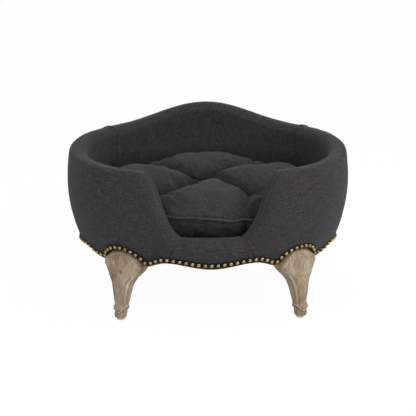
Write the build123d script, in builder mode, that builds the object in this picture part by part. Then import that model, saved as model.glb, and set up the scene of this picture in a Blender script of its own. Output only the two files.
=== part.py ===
import os
from math import acos, asin, atan, cos, degrees, hypot, pi, radians, sin

from build123d import *

os.makedirs("parts", exist_ok=True)

# A small upholstered bed for a cat or a dog: an oval tub on four cabriole legs, with a low
# front that the animal steps over and a loose tufted cushion inside.
# Lengths in millimetres. Origin on the floor, under the middle. Front is -Y, up is +Z.

# Driving dimensions of the tub
bed_width = 700.0
bed_depth = 560.0
hump_height = 450.0
shoulder_height = 398.0
front_rim_height = 365.0
sill_height = 207.0
belly_height = 300.0
barrel_radius = 375.0
inner_reach = 51.0
inner_belly_height = 335.0
inner_radius = 463.0
roll_radius = 23.5
quarter_turn_share = 0.5523
half_width = bed_width / 2
half_depth = bed_depth / 2

# Step-in opening, across the front
opening_sill_width = 156.0
opening_rim_width = 322.0
sill_shares = [1.0, 0.5, 0.0, -0.5, -1.0]
opening_shares = [(0.0, 0.0), (0.14, 0.06), (0.34, 0.23), (0.52, 0.49), (0.66, 0.76), (0.83, 0.95), (1.0, 1.0)]

# Rim between the opening and the back seams: place along it, and rise from front rim to shoulder
rear_seam_angle = 38.0
rim_rise_shares = [(0.0, 0.0), (0.14, 0.03), (0.30, 0.13), (0.50, 0.36), (0.70, 0.68), (0.86, 0.90), (1.0, 1.0)]
hump_shares = [0.0, 0.33, 0.67, 1.0]

# Cloth, foam and gaps
cover_thickness = 1.4
layer_gap = 0.4
contact_gap = 0.3
overrun = 40.0

# Apron rails
rail_thickness = 22.0
rail_inset = 38.6
rail_top = 185.0
apron_low = 132.0
apron_centre_front = 133.5
apron_high_front = 146.0
apron_high_front_place = 108.0
apron_end_front = 149.0
apron_centre_side = 140.0
apron_high_side = 147.0
apron_high_side_place = 92.0
apron_end_side = 136.0
cover_edge_rise = 2.0
pad_edge_rise = 9.0

# Wall boards and posts inside the foam
board_thickness = 6.0
board_first_station = 2
post_thickness = 12.0
post_spread = 5.0
post_spread_spare = 0.1
front_post_angle = -55.0
rear_post_angle = 31.0

# Floor of the tub
base_thickness = 12.0
base_underside = 160.0
deck_cloth_thickness = 1.5
ledger_width = 18.0
ledger_height = 12.0
dust_cover_thickness = 0.8
deck_top = base_underside + base_thickness + deck_cloth_thickness
lining_foot = deck_top + layer_gap

# Legs
leg_place = 49.5
knee_radius = 56.5
knee_centre_height = 109.5
knee_width = 113.0
knee_depth = 60.0
knee_cut_depth = 6.0
leg_lean = 22.0
block_width = 48.0
block_depth = 45.0
tongue_spare = 1.5
foot_height = 5.0
glide_radius = 10.0
glide_chamfer = 0.6
glide_nail_radius = 1.6
glide_nail_length = 14.0
glide_recess_radius = 4.0
glide_recess_depth = 2.0
collar_shares = [(0.0, 0.98, 0.22, 0.40), (0.30, 1.00, 0.245, 0.44), (0.72, 0.93, 0.245, 0.44),
                 (1.0, 0.86, 0.235, 0.42)]
collar_height = 30.0
lip_shares = [(0.0, 0.86, 0.265, 0.46), (0.45, 0.89, 0.285, 0.50), (1.0, 0.80, 0.265, 0.45)]
lip_height = 12.0
shank_shares = [(0.0, 0.80, 0.265, 0.45), (0.14, 0.66, 0.285, 0.48), (0.28, 0.47, 0.355, 0.59),
                (0.42, 0.20, 0.49, 0.76), (0.56, -0.15, 0.75, 0.93), (0.70, -0.36, 0.95, 1.0),
                (0.85, -0.41, 1.02, 0.98), (1.0, -0.64, 1.02, 0.80)]
corner_round_share = 0.36

# Fasteners
dowel_radius = 4.0
dowel_length = 40.0
dowel_height = 172.0
dowel_set_in = 2.0
screw_radius = 2.2
screw_head_radius = 4.4
screw_head_depth = 2.6
screw_length = 30.0
ledger_screw_length = 22.0
ledger_screw_angles = [0, 22, 68, 90, 112, 158, 180, 202, 248, 270, 292, 338]
hole_gap = 0.15
staple_width = 10.0
staple_wire = 0.9
staple_angles = [0, 20, 38, 62, 76, 90, 104, 118, 142, 160, 180, 200, 218, 242, 256, 270, 284, 298, 322, 340]
nail_radius = 5.5
nail_rise = 3.6
nail_gap = 0.65
dome_shares = (0.71, 0.74)
nail_pitch = 16.0
nail_edge_distance = 10.0
row_steps = 60

# Cushion
cushion_gap = 0.6
piping_height = 243.0
piping_radius = 3.0
cushion_inset = 69.0
cushion_top_height = 325.0
cushion_top_slope = 0.11
cushion_top_shares = [(0.0, 0.0, 0.0), (0.38, 9.0, 0.15), (0.70, 31.0, 0.50), (0.90, 70.0, 0.85), (1.0, 130.0, 1.0)]
cushion_base_shares = [(0.0, 0.0, 0.0), (0.50, 10.0, 0.0), (0.84, 34.0, 0.0), (1.0, 62.0, 0.0)]
core_inset = 22.0
core_edge_inset = 66.0
core_rise = 14.0
core_drop = 34.0
tuft_spread_x = 112.0
tuft_spread_y = 88.0
tuft_radius = 46.0
tuft_depth = 49.0
tuft_flank_shares = (0.28, 0.42)
crease_reach = 40.0
crease_depth = 30.0
crease_flank_shares = (0.30, 0.35)
tie_radius = 1.2


# Wall section, measured as lean from the widest oval and height
def outer_lean(height):
    return -(height - belly_height) ** 2 / (2 * barrel_radius)


def inner_lean(height):
    return -inner_reach - (height - inner_belly_height) ** 2 / (2 * inner_radius)


def roll_at(rim):
    """Height at which the rim starts to roll over, and the radius of the roll."""
    turn = rim - roll_radius
    for step in range(3):
        turn = rim - (outer_lean(turn) - inner_lean(turn)) / 2
    return turn, (outer_lean(turn) - inner_lean(turn)) / 2


def middle_lean(height):
    return (outer_lean(height) + inner_lean(height)) / 2


def station(angle):
    across = (cos(radians(angle)), sin(radians(angle)), 0)
    along = (sin(radians(angle)), -cos(radians(angle)), 0)
    return Plane(origin=(half_width * across[0], half_depth * across[1], 0), x_dir=across, z_dir=along)


def lean_curve(lean, low, high, shift):
    """Parabola along a wall face, from its two ends and the point where their tangents meet."""
    middle = (low + high) / 2
    rise = (high - low) / 2
    half_way = 2 * lean(middle) - (lean(low) + lean(high)) / 2
    return [(lean(low) + shift, low), (half_way + shift, low + rise), (lean(high) + shift, high)]


def over_the_rim(rim, depth, outer_foot, inner_foot):
    """Four curves of a layer that lies depth under the cloth: up the outside, over, down the inside."""
    turn, radius = roll_at(rim)
    middle = middle_lean(turn)
    bend = radius - depth
    pull = bend * quarter_turn_share
    return [
        lean_curve(outer_lean, outer_foot, turn, -depth),
        [(middle + bend, turn), (middle + bend, turn + pull), (middle + pull, turn + bend), (middle, turn + bend)],
        [(middle, turn + bend), (middle - pull, turn + bend), (middle - bend, turn + pull), (middle - bend, turn)],
        lean_curve(inner_lean, inner_foot, turn, depth),
    ]


def cover_section(angle, rim):
    outside = over_the_rim(rim, 0, apron_low, lining_foot)
    inside = over_the_rim(rim, cover_thickness, apron_low, lining_foot)
    with BuildSketch(station(angle)) as section:
        with BuildLine():
            for curve in outside + inside:
                Bezier(*curve)
            Line(outside[0][0], inside[0][0])
            Line(outside[3][0], inside[3][0])
        make_face()
    return section.sketch


def pad_section(angle, rim):
    foot = apron_low + pad_edge_rise
    skin = over_the_rim(rim, cover_thickness + layer_gap, foot, lining_foot)
    seat = rail_top + layer_gap
    slot_top = max(roll_at(rim)[0] - 2 * contact_gap, seat + board_thickness / 2)
    half_slot = board_thickness / 2 + layer_gap
    rail_face = -rail_inset + layer_gap
    rail_back = -rail_inset - rail_thickness - layer_gap
    with BuildSketch(station(angle)) as section:
        with BuildLine():
            for curve in skin:
                Bezier(*curve)
            Line(skin[0][0], (rail_face, foot))
            Line((rail_face, foot), (rail_face, seat))
            Line((rail_face, seat), (middle_lean(seat) + half_slot, seat))
            Bezier(*lean_curve(middle_lean, seat, slot_top, half_slot))
            Line((middle_lean(slot_top) + half_slot, slot_top), (middle_lean(slot_top) - half_slot, slot_top))
            Bezier(*lean_curve(middle_lean, seat, slot_top, -half_slot))
            Line((middle_lean(seat) - half_slot, seat), (rail_back, seat))
            Line((rail_back, seat), (rail_back, lining_foot))
            Line((rail_back, lining_foot), skin[3][0])
        make_face()
    return section.sketch


def slab_section(angle, rim, outside, inside, spare):
    """A strip that follows the middle of the wall, from the rails up to the roll."""
    low = rail_top + contact_gap - spare
    high = roll_at(rim)[0] - 4 * contact_gap + spare
    with BuildSketch(station(angle)) as section:
        with BuildLine():
            Bezier(*lean_curve(middle_lean, low, high, outside + spare))
            Bezier(*lean_curve(middle_lean, low, high, inside - spare))
            Line((middle_lean(low) + outside + spare, low), (middle_lean(low) + inside - spare, low))
            Line((middle_lean(high) + outside + spare, high), (middle_lean(high) + inside - spare, high))
        make_face()
    return section.sketch


# Rim heights, as stations of angle and height around the oval
crest_half_width = half_width - roll_radius


def opening_station(place_share, rise_share):
    x = (opening_sill_width + place_share * (opening_rim_width - opening_sill_width)) / 2
    return -degrees(acos(x / crest_half_width)), sill_height + rise_share * (front_rim_height - sill_height)


opening_edge = [opening_station(place, rise) for place, rise in opening_shares]
front_seam_angle, jamb_angle = opening_edge[0][0], opening_edge[-1][0]
side_edge = [
    (
        jamb_angle + place * (rear_seam_angle - jamb_angle),
        front_rim_height + rise * (shoulder_height - front_rim_height),
    )
    for place, rise in rim_rise_shares
]
side_stations = opening_edge + side_edge[1:]
front_span = -90 - front_seam_angle
front_stations = [(-90 + share * front_span, sill_height) for share in sill_shares]


def hump_station(angle):
    x_share = cos(radians(angle)) / cos(radians(rear_seam_angle))
    return angle, shoulder_height + (hump_height - shoulder_height) * (1 + cos(pi * x_share)) / 2


back_angles = [rear_seam_angle + share * (90 - rear_seam_angle) for share in hump_shares]
back_angles += [180 - angle for angle in reversed(back_angles[:-1])]
back_stations = [hump_station(angle) for angle in back_angles]


def rim_at(angle):
    for (low_angle, low_rim), (high_angle, high_rim) in zip(side_stations, side_stations[1:]):
        if low_angle <= angle <= high_angle:
            return low_rim + (high_rim - low_rim) * (angle - low_angle) / (high_angle - low_angle)
    return shoulder_height


# Legs stand where the oval turns from the front to the sides
rail_half_width = half_width - rail_inset
rail_half_depth = half_depth - rail_inset


def leg_frame(side_x, side_y):
    x = rail_half_width * cos(radians(leg_place))
    y = rail_half_depth * sin(radians(leg_place))
    outward = (x / rail_half_width**2, y / rail_half_depth**2)
    length = hypot(*outward)
    nx, ny = side_x * outward[0] / length, side_y * outward[1] / length
    upright = Plane(origin=(side_x * x, side_y * y, 0), x_dir=(ny, -nx, 0), z_dir=(0, 0, 1))
    facing = Plane(origin=(side_x * x, side_y * y, 0), x_dir=(-ny, nx, 0), z_dir=(nx, ny, 0))
    return upright, facing


leg_sides = {
    "front_left": (-1, -1),
    "front_right": (1, -1),
    "rear_left": (-1, 1),
    "rear_right": (1, 1),
}
leg_frames = {name: leg_frame(*sides) for name, sides in leg_sides.items()}


# Scalloped lower edge of the apron
def scallop(place, centre, high, high_place, end_place):
    place = abs(place)
    if place < high_place:
        return centre + (high - centre) * (1 - cos(pi * place / high_place)) / 2
    return high - (high - apron_low) * (1 - cos(pi * (place - high_place) / (end_place - high_place))) / 2


front_scallop = (apron_centre_front, apron_high_front, apron_high_front_place, apron_end_front)
side_scallop = (apron_centre_side, apron_high_side, apron_high_side_place, apron_end_side)
scallop_steps = 12


def scallop_outline(centre, high, high_place, end_place):
    places = [end_place * (2 * step / scallop_steps - 1) for step in range(scallop_steps + 1)]
    return [(place, scallop(place, centre, high, high_place, end_place)) for place in places]


with BuildPart() as below_apron:
    with BuildSketch(Plane.XZ):
        with BuildLine():
            edge = Spline(*scallop_outline(*front_scallop))
            Polyline(edge @ 0, (-apron_end_front, apron_low - overrun), (apron_end_front, apron_low - overrun), edge @ 1)
        make_face()
    extrude(amount=bed_depth, both=True)
    with BuildSketch(Plane.YZ):
        with BuildLine():
            edge = Spline(*scallop_outline(*side_scallop))
            Polyline(edge @ 0, (-apron_end_side, apron_low - overrun), (apron_end_side, apron_low - overrun), edge @ 1)
        make_face()
    extrude(amount=bed_width, both=True)
    with BuildSketch(Plane.XY.offset(apron_low - overrun)):
        Rectangle(2 * bed_width, 2 * bed_depth)
    extrude(amount=overrun)


def knee_cutter(clearance):
    with BuildPart() as cutter:
        for upright, facing in leg_frames.values():
            with BuildSketch(facing.offset(-knee_cut_depth)):
                with Locations((0, knee_centre_height)):
                    Circle(knee_radius + clearance)
            extrude(amount=knee_depth)
    return cutter.part


# Covers: charcoal cloth in four panels, each pulled over the rim and down to the floor of the tub
def make_cover(*runs):
    with BuildPart() as cover:
        for stations in runs:
            loft([cover_section(angle, rim) for angle, rim in stations])
        add(below_apron.part.moved(Location((0, 0, cover_edge_rise))), mode=Mode.SUBTRACT)
        add(knee_cutter(layer_gap), mode=Mode.SUBTRACT)
    return cover.part


# Foam: one wrap of foam under each panel, slotted for the rails and the wall boards
def make_pad(stations, posts):
    with BuildPart() as pad:
        loft([pad_section(angle, rim) for angle, rim in stations])
        add(below_apron.part.moved(Location((0, 0, pad_edge_rise))), mode=Mode.SUBTRACT)
        add(knee_cutter(2 * layer_gap), mode=Mode.SUBTRACT)
        for post in posts:
            add(post, mode=Mode.SUBTRACT)
    return pad.part


def make_board(*runs):
    half = board_thickness / 2
    with BuildPart() as board:
        for stations in runs:
            loft([slab_section(angle, rim, half, -half, 0) for angle, rim in stations])
    return board.part


def make_post(angle, spare):
    outside = -board_thickness / 2 - contact_gap
    spread = post_spread + (post_spread_spare if spare else 0)
    rim = rim_at(angle - post_spread)
    with BuildPart() as post:
        loft([slab_section(angle + turn, rim, outside, outside - post_thickness, spare)
              for turn in (-spread, 0, spread)])
    return post.part


# The sill stands further in than the hump, so the whole bed moves forward to sit over its origin
forward = outer_lean(roll_at(sill_height)[0]) / 2


def write(part, name):
    placed = part.moved(Location((0, forward, 0)))
    placed.label = name
    export_step(placed, f"parts/{name}.step")


def write_pair(part, name):
    write(part, f"{name}_right")
    with BuildPart() as twin:
        mirror(part, about=Plane.YZ)
    write(twin.part, f"{name}_left")


side_posts = [make_post(angle, layer_gap) for angle in (front_post_angle, rear_post_angle)]

write_pair(make_cover(opening_edge, side_edge), "cover")
write(make_cover(back_stations), "cover_back")
write(make_cover(front_stations), "cover_front")
write_pair(make_pad(side_edge, side_posts), "side_pad")
write_pair(make_pad(opening_edge, []), "opening_pad")
write(make_pad(back_stations, []), "back_pad")
write(make_pad(front_stations, []), "sill_pad")
write_pair(make_board(opening_edge[board_first_station:], side_edge), "wall_board")
write(make_board(back_stations), "wall_board_back")
write_pair(make_post(front_post_angle, 0), "front_post")
write_pair(make_post(rear_post_angle, 0), "rear_post")


# Dowels that tie the rail ends to the leg blocks
def dowels(radius, length):
    with BuildPart() as pins:
        for upright, facing in leg_frames.values():
            for side in (-1, 1):
                middle = Vector(side * block_width / 2, -rail_thickness / 2 - dowel_set_in, dowel_height)
                with BuildSketch(Plane(origin=upright.from_local_coords(middle), z_dir=upright.x_dir)):
                    Circle(radius)
                extrude(amount=length / 2, both=True)
    return pins.part


dowel_holes = dowels(dowel_radius + hole_gap, dowel_length + 2 * contact_gap)
write(dowels(dowel_radius, dowel_length), "rail_dowels")

# Rails: four scalloped oak rails between the leg blocks
with BuildPart() as leg_blocks:
    for upright, facing in leg_frames.values():
        with BuildSketch(upright.offset(apron_low - overrun)):
            with Locations((0, -block_depth / 2)):
                Rectangle(block_width + 2 * contact_gap, block_depth + 2 * contact_gap)
            with Locations((0, 0)):
                Rectangle(block_width + 2 * contact_gap, block_depth)
        extrude(amount=2 * rail_top)

with BuildPart() as rail_ring:
    with BuildSketch(Plane.XY.offset(apron_low - overrun)):
        Ellipse(rail_half_width, rail_half_depth)
        Ellipse(rail_half_width - rail_thickness, rail_half_depth - rail_thickness, mode=Mode.SUBTRACT)
    extrude(amount=rail_top - apron_low + overrun)
    add(below_apron.part, mode=Mode.SUBTRACT)
    add(leg_blocks.part, mode=Mode.SUBTRACT)
    add(dowel_holes, mode=Mode.SUBTRACT)

# Ledgers: strips inside the rails that carry the base board
ledger_half_width = rail_half_width - rail_thickness - contact_gap
ledger_half_depth = rail_half_depth - rail_thickness - contact_gap
with BuildPart() as ledger_ring:
    with BuildSketch(Plane.XY.offset(base_underside - ledger_height)):
        Ellipse(ledger_half_width, ledger_half_depth)
        Ellipse(ledger_half_width - ledger_width, ledger_half_depth - ledger_width, mode=Mode.SUBTRACT)
    extrude(amount=ledger_height)
    add(leg_blocks.part, mode=Mode.SUBTRACT)


def write_four(ring, name):
    by_depth = ring.solids().sort_by(Axis.Y)
    by_width = ring.solids().sort_by(Axis.X)
    for side, solid in {"front": by_depth[0], "rear": by_depth[-1], "left": by_width[0], "right": by_width[-1]}.items():
        with BuildPart() as piece:
            add(solid)
        write(piece.part, f"{side}_{name}")


write_four(rail_ring.part, "rail")

# Base board, its cloth and the screws
ledger_line_x = ledger_half_width - ledger_width / 2
ledger_line_y = ledger_half_depth - ledger_width / 2
ledger_screw_places = [
    (ledger_line_x * cos(radians(angle)), ledger_line_y * sin(radians(angle))) for angle in ledger_screw_angles
]
block_screw_places = []
for upright, facing in leg_frames.values():
    spot = upright.from_local_coords(Vector(0, -(rail_thickness + block_depth) / 2, 0))
    block_screw_places.append((spot.X, spot.Y))
base_top = base_underside + base_thickness


def screws(places, length, spare):
    """Countersunk screws whose heads are flush with the top of the base board."""
    with BuildPart() as group:
        with BuildSketch(Plane.XY.offset(base_top + (spare and contact_gap))):
            with Locations(*places):
                Circle(screw_radius + spare)
        extrude(amount=-length - (spare and 2 * contact_gap))
        for x, y in places:
            with BuildSketch(Plane(origin=(x, y, base_top))):
                Circle(screw_head_radius + spare)
            with BuildSketch(Plane(origin=(x, y, base_top - screw_head_depth))):
                Circle(screw_radius + spare)
            loft()
    return group.part


screw_holes = screws(ledger_screw_places, ledger_screw_length, hole_gap)
block_screw_holes = screws(block_screw_places, screw_length, hole_gap)
write(screws(ledger_screw_places, ledger_screw_length, 0), "ledger_screws")
write(screws(block_screw_places, screw_length, 0), "leg_screws")

with BuildPart() as ledgers:
    add(ledger_ring.part)
    add(screw_holes, mode=Mode.SUBTRACT)
write_four(ledgers.part, "ledger")

with BuildPart() as base_board:
    with BuildSketch(Plane.XY.offset(base_underside)):
        Ellipse(ledger_half_width, ledger_half_depth)
    extrude(amount=base_thickness)
    add(screw_holes, mode=Mode.SUBTRACT)
    add(block_screw_holes, mode=Mode.SUBTRACT)
write(base_board.part, "base_board")

with BuildPart() as deck_cloth:
    with BuildSketch(Plane.XY.offset(base_top)):
        Ellipse(ledger_half_width, ledger_half_depth)
    extrude(amount=deck_cloth_thickness)
write(deck_cloth.part, "deck_cloth")

with BuildPart() as dust_cover:
    with BuildSketch(Plane.XY.offset(base_underside - ledger_height - dust_cover_thickness)):
        Ellipse(ledger_half_width, ledger_half_depth)
    extrude(amount=dust_cover_thickness)
    add(leg_blocks.part, mode=Mode.SUBTRACT)
write(dust_cover.part, "dust_cover")


# Legs: carved cabriole legs, knee trimmed to an arch, with the block that enters the frame
def leg_loft(upright, start, height, shares):
    with BuildPart() as piece:
        for height_share, lean_share, width_share, depth_share in shares:
            width, depth = width_share * knee_width, depth_share * knee_depth
            with BuildSketch(upright.offset(start + height_share * height)):
                with Locations((0, lean_share * leg_lean)):
                    RectangleRounded(width, depth, corner_round_share * min(width, depth))
        loft()
    return piece.part


knee_top = knee_centre_height + knee_radius
shank_start = foot_height + collar_height + lip_height

with BuildPart() as inside_rails:
    with BuildSketch(Plane.XY.offset(apron_low - contact_gap)):
        Ellipse(rail_half_width + contact_gap, rail_half_depth + contact_gap)
    extrude(amount=rail_top)

for name, (upright, facing) in leg_frames.items():
    with BuildPart() as leg:
        add(leg_loft(upright, shank_start, knee_top - shank_start + contact_gap, shank_shares))
        with BuildSketch(facing.offset(-2 * knee_depth)):
            with Locations((0, knee_centre_height)):
                Circle(knee_radius)
            with Locations((0, knee_centre_height / 2)):
                Rectangle(2 * knee_radius, knee_centre_height)
        extrude(amount=4 * knee_depth, mode=Mode.INTERSECT)
        add(inside_rails.part, mode=Mode.SUBTRACT)
        add(leg_loft(upright, foot_height, collar_height, collar_shares))
        add(leg_loft(upright, foot_height + collar_height, lip_height, lip_shares))
        with BuildSketch(upright.offset(knee_centre_height)):
            with Locations((0, -block_depth / 2)):
                Rectangle(block_width, block_depth)
        extrude(amount=base_underside - knee_centre_height)
        with BuildSketch(upright.offset(base_underside)):
            with Locations((0, -rail_thickness / 2 - contact_gap)):
                Rectangle(block_width, rail_thickness - tongue_spare)
        extrude(amount=rail_top - base_underside)
        add(dowel_holes, mode=Mode.SUBTRACT)
        add(block_screw_holes, mode=Mode.SUBTRACT)
        with Locations(upright.from_local_coords(Vector(0, collar_shares[0][1] * leg_lean, foot_height))):
            Cylinder(glide_nail_radius + hole_gap, 2 * glide_nail_length, mode=Mode.SUBTRACT)
    write(leg.part, f"leg_{name}")


# Glides under the feet
def glide_place(upright):
    spot = upright.from_local_coords(Vector(0, collar_shares[0][1] * leg_lean, 0))
    return spot.X, spot.Y


for name, (upright, facing) in leg_frames.items():
    with BuildPart() as glide:
        with BuildSketch(Plane.XY):
            with Locations(glide_place(upright)):
                Circle(glide_radius)
        extrude(amount=foot_height)
        with BuildSketch(Plane.XY):
            with Locations(glide_place(upright)):
                Circle(glide_recess_radius)
        extrude(amount=glide_recess_depth, mode=Mode.SUBTRACT)
        with BuildSketch(Plane.XY):
            with Locations(glide_place(upright)):
                Circle(glide_nail_radius + hole_gap)
        extrude(amount=foot_height, mode=Mode.SUBTRACT)
        chamfer(glide.edges().filter_by(GeomType.CIRCLE).group_by(Axis.Z)[0].sort_by(SortBy.RADIUS)[-1:], glide_chamfer)
    write(glide.part, f"glide_{name}")

with BuildPart() as glide_nails:
    for upright, facing in leg_frames.values():
        x, y = glide_place(upright)
        with BuildSketch(Plane.XY.offset(glide_recess_depth)):
            with Locations((x, y)):
                Circle(glide_nail_radius)
        extrude(amount=glide_nail_length)
        with BuildSketch(Plane.XY.offset(glide_recess_depth / 4)):
            with Locations((x, y)):
                Circle(glide_recess_radius - contact_gap)
        extrude(amount=glide_recess_depth * 3 / 4)
write(glide_nails.part, "glide_nails")

# Upholstery nails, domed, along the scalloped edge and over each knee
with BuildPart() as dome:
    with BuildSketch(Plane.XZ):
        with BuildLine():
            cap = ThreePointArc(
                (0, nail_rise),
                (dome_shares[0] * nail_radius, dome_shares[1] * nail_rise),
                (nail_radius, 0),
            )
            Polyline(cap @ 0, (0, 0), cap @ 1)
        make_face()
    revolve(axis=Axis.Z)


def nail_location(angle, height):
    lean = outer_lean(height) + nail_gap
    x = (half_width + lean) * cos(radians(angle))
    y = (half_depth + lean) * sin(radians(angle))
    nx, ny = x / (half_width + lean) ** 2, y / (half_depth + lean) ** 2
    slope = (belly_height - height) / barrel_radius
    normal = Vector(nx / hypot(nx, ny), ny / hypot(nx, ny), -slope)
    return Location(Plane(origin=(x, y, height), z_dir=normal))


def row_angles(start, end):
    """Angles of evenly pitched nails from start to end, both ends left to the knee rows."""
    ring = [start + (end - start) * step / row_steps for step in range(row_steps + 1)]
    spots = [(rail_half_width * cos(radians(a)), rail_half_depth * sin(radians(a))) for a in ring]
    length = sum(hypot(b[0] - a[0], b[1] - a[1]) for a, b in zip(spots, spots[1:]))
    count = round(length / nail_pitch)
    return [start + (end - start) * step / count for step in range(1, count)]


nail_circle = knee_radius + nail_edge_distance
knee_turn = degrees(asin((apron_low + nail_edge_distance + cover_edge_rise - knee_centre_height) / nail_circle))
arch_length = radians(180 - 2 * knee_turn) * nail_circle
arch_count = round(arch_length / nail_pitch)
sweep_rate = hypot(rail_half_width * sin(radians(leg_place)), rail_half_depth * cos(radians(leg_place)))
knee_reach = degrees(nail_circle * cos(radians(knee_turn)) / sweep_rate)


def arch_places(middle_angle):
    places = []
    for step in range(arch_count + 1):
        turn = radians(knee_turn + (180 - 2 * knee_turn) * step / arch_count)
        places.append((middle_angle + degrees(nail_circle * cos(turn) / sweep_rate),
                       knee_centre_height + nail_circle * sin(turn)))
    return places


def edge_places(middle_angle, reach):
    places = []
    for angle in row_angles(middle_angle - reach, middle_angle + reach):
        x, y = rail_half_width * cos(radians(angle)), rail_half_depth * sin(radians(angle))
        if abs(sin(radians(middle_angle))) > abs(cos(radians(middle_angle))):
            edge_height = scallop(x, *front_scallop)
        else:
            edge_height = scallop(y, *side_scallop)
        places.append((angle, edge_height + cover_edge_rise + nail_edge_distance))
    return places


nail_rows = {
    "front": edge_places(-90, 90 - leg_place - knee_reach),
    "rear": edge_places(90, 90 - leg_place - knee_reach),
    "right": edge_places(0, leg_place - knee_reach),
    "left": edge_places(180, leg_place - knee_reach),
    "front_knee": arch_places(-leg_place) + arch_places(-180 + leg_place),
    "rear_knee": arch_places(leg_place) + arch_places(180 - leg_place),
}
for name, places in nail_rows.items():
    with BuildPart() as nails:
        with Locations(*[nail_location(angle, height) for angle, height in places]):
            add(dome.part)
    write(nails.part, f"{name}_nails")
    print(name, "nails", len(places))

# Staples that hold the dust cover to the ledgers
with BuildPart() as staples:
    for angle in staple_angles:
        x, y = ledger_line_x * cos(radians(angle)), ledger_line_y * sin(radians(angle))
        crown = base_underside - ledger_height - dust_cover_thickness - staple_wire
        with BuildSketch(Plane(origin=(x, y, crown), x_dir=(-sin(radians(angle)), cos(radians(angle)), 0))):
            Rectangle(staple_width, staple_wire)
        extrude(amount=staple_wire)
write(staples.part, "dust_cover_staples")

# Cushion: two tufted halves round a core, with a piped seam at half height
cushion_half_width = half_width - cushion_inset
cushion_half_depth = half_depth - cushion_inset
cushion_foot = deck_top + cushion_gap


def half_cushion(shares, height):
    """Half of the cushion, from its seam; the slope lifts its back against the wall."""
    with BuildPart() as half:
        for height_share, inset, slope_share in shares:
            level = piping_height + height_share * height
            tilt = degrees(atan(slope_share * cushion_top_slope))
            with BuildSketch(Plane(Location((0, 0, level), (tilt, 0, 0)))):
                Ellipse(cushion_half_width - inset, cushion_half_depth - inset)
        loft()
    return half.part


def top_level(y):
    return cushion_top_height + cushion_top_slope * y


tuft_places = [(0, 0)] + [(x * tuft_spread_x, y * tuft_spread_y) for x in (-1, 1) for y in (-1, 1)]
with BuildPart() as core:
    with BuildSketch(Plane.XY.offset(piping_height - core_drop)):
        Ellipse(cushion_half_width - core_edge_inset, cushion_half_depth - core_edge_inset)
    with BuildSketch(Plane.XY.offset(piping_height)):
        Ellipse(cushion_half_width - core_inset, cushion_half_depth - core_inset)
    with BuildSketch(Plane.XY.offset(piping_height + core_rise)):
        Ellipse(cushion_half_width - core_edge_inset, cushion_half_depth - core_edge_inset)
    loft()

with BuildPart() as tie_holes:
    with BuildSketch(Plane.XY.offset(deck_top)):
        with Locations(*tuft_places):
            Circle(tie_radius + hole_gap)
    extrude(amount=bed_depth)

with BuildPart() as dimple:
    with BuildSketch(Plane.XZ):
        with BuildLine():
            flank = ThreePointArc(
                (0, -tuft_depth),
                (tuft_flank_shares[0] * tuft_radius, -tuft_flank_shares[1] * tuft_depth),
                (tuft_radius, 0),
            )
            Polyline(flank @ 0, (0, tuft_depth), (tuft_radius, tuft_depth), flank @ 1)
        make_face()
    revolve(axis=Axis.Z)

with BuildPart() as cushion_top:
    add(half_cushion(cushion_top_shares, cushion_top_height - piping_height))
    for side in (-1, 1):
        run = Vector(side * tuft_spread_x, tuft_spread_y, cushion_top_slope * tuft_spread_y).normalized()
        with BuildSketch(Plane(origin=(0, 0, cushion_top_height), x_dir=(-run.Y, run.X, 0), z_dir=run)):
            with BuildLine():
                near, far = [
                    ThreePointArc(
                        (0, -crease_depth),
                        (turn * crease_flank_shares[0] * crease_reach, -crease_flank_shares[1] * crease_depth),
                        (turn * crease_reach, 0),
                    )
                    for turn in (-1, 1)
                ]
                Polyline(near @ 1, (-crease_reach, crease_depth), (crease_reach, crease_depth), far @ 1)
            make_face()
        extrude(amount=bed_width, both=True, mode=Mode.SUBTRACT)
    for x, y in tuft_places:
        with Locations((x, y, top_level(y))):
            add(dimple.part, mode=Mode.SUBTRACT)
    add(core.part, mode=Mode.SUBTRACT)
    add(tie_holes.part, mode=Mode.SUBTRACT)
write(cushion_top.part, "cushion_top")

with BuildPart() as cushion_base:
    add(half_cushion(cushion_base_shares, cushion_foot - piping_height))
    add(core.part, mode=Mode.SUBTRACT)
    add(tie_holes.part, mode=Mode.SUBTRACT)
write(cushion_base.part, "cushion_base")

with BuildPart() as cushion_core:
    add(core.part)
    add(tie_holes.part, mode=Mode.SUBTRACT)
write(cushion_core.part, "cushion_core")

with BuildPart() as tuft_ties:
    for x, y in tuft_places:
        with BuildSketch(Plane.XY.offset(cushion_foot + contact_gap)):
            with Locations((x, y)):
                Circle(tie_radius)
        extrude(amount=top_level(y) - tuft_depth - 3 * contact_gap - cushion_foot)
write(tuft_ties.part, "tuft_ties")

piping_half_width = cushion_half_width + piping_radius + contact_gap
piping_half_depth = cushion_half_depth + piping_radius + contact_gap
with BuildPart() as cushion_piping:
    with BuildLine():
        route = EllipticalCenterArc((0, 0, piping_height), piping_half_width, piping_half_depth, arc_size=360)
    with BuildSketch(Plane(origin=(piping_half_width, 0, piping_height), z_dir=(0, 1, 0))):
        Circle(piping_radius)
    sweep(path=route)
write(cushion_piping.part, "cushion_piping")
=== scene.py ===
from math import acos, asin, atan2, cos, degrees, exp, hypot, pi, radians, sin, sqrt

import bpy
import numpy as np
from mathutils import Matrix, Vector, noise
from mathutils.bvhtree import BVHTree


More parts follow.
